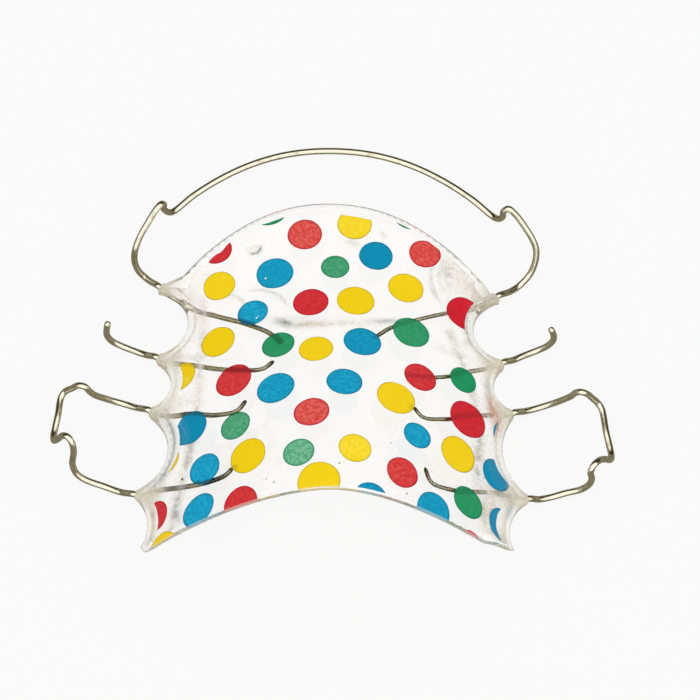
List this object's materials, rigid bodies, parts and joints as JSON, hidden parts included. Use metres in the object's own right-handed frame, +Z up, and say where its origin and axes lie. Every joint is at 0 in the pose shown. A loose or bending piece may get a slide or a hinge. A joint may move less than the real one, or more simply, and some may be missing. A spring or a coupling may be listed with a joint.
{
  "type": "hawley retainer",
  "caption": "Removable upper dental retainer: clear vaulted palate plate with a polka-dot film, a looped wire bow across the front teeth, hook clasps and molar wire clasps.",
  "frame": {"origin": "bottom centre of the whole part's box, on the level of the wires where they cross between the teeth, which it rests on", "axes": "+X towards the wearer's right, +Y towards the front teeth, +Z up towards the palate, the side that the picture shows"},
  "size_m": [0.06, 0.0473, 0.0146],
  "materials": {
    "acrylic": "clear cold-cured acrylic, polished on the tongue side and pebbled along the teeth",
    "steel": "bright drawn stainless wire",
    "red_ink": "print on clear film",
    "yellow_ink": "print on clear film",
    "blue_ink": "print on clear film",
    "green_ink": "print on clear film"
  },
  "bodies": {
    "root": {"baseplate": "acrylic", "labial_bow": "steel", "left_hook_clasp": "steel", "right_hook_clasp": "steel", "left_adams_clasp": "steel", "right_adams_clasp": "steel", "dot_red_01": "red_ink", "dot_red_02": "red_ink", "dot_red_03": "red_ink", "dot_red_04": "red_ink", "dot_red_05": "red_ink", "dot_red_06": "red_ink", "dot_red_07": "red_ink", "dot_red_08": "red_ink", "dot_red_09": "red_ink", "dot_red_10": "red_ink", "dot_red_11": "red_ink", "dot_red_12": "red_ink", "dot_yellow_01": "yellow_ink", "dot_yellow_02": "yellow_ink", "dot_yellow_03": "yellow_ink", "dot_yellow_04": "yellow_ink", "dot_yellow_05": "yellow_ink", "dot_yellow_06": "yellow_ink", "dot_yellow_07": "yellow_ink", "dot_yellow_08": "yellow_ink", "dot_yellow_09": "yellow_ink", "dot_yellow_10": "yellow_ink", "dot_yellow_11": "yellow_ink", "dot_yellow_12": "yellow_ink", "dot_yellow_13": "yellow_ink", "dot_yellow_14": "yellow_ink", "dot_blue_01": "blue_ink", "dot_blue_02": "blue_ink", "dot_blue_03": "blue_ink", "dot_blue_04": "blue_ink", "dot_blue_05": "blue_ink", "dot_blue_06": "blue_ink", "dot_blue_07": "blue_ink", "dot_blue_08": "blue_ink", "dot_blue_09": "blue_ink", "dot_blue_10": "blue_ink", "dot_blue_11": "blue_ink", "dot_blue_12": "blue_ink", "dot_blue_13": "blue_ink", "dot_blue_14": "blue_ink", "dot_green_01": "green_ink", "dot_green_02": "green_ink", "dot_green_03": "green_ink", "dot_green_04": "green_ink", "dot_green_05": "green_ink", "dot_green_06": "green_ink", "dot_green_07": "green_ink"}
  },
  "joints": []
}
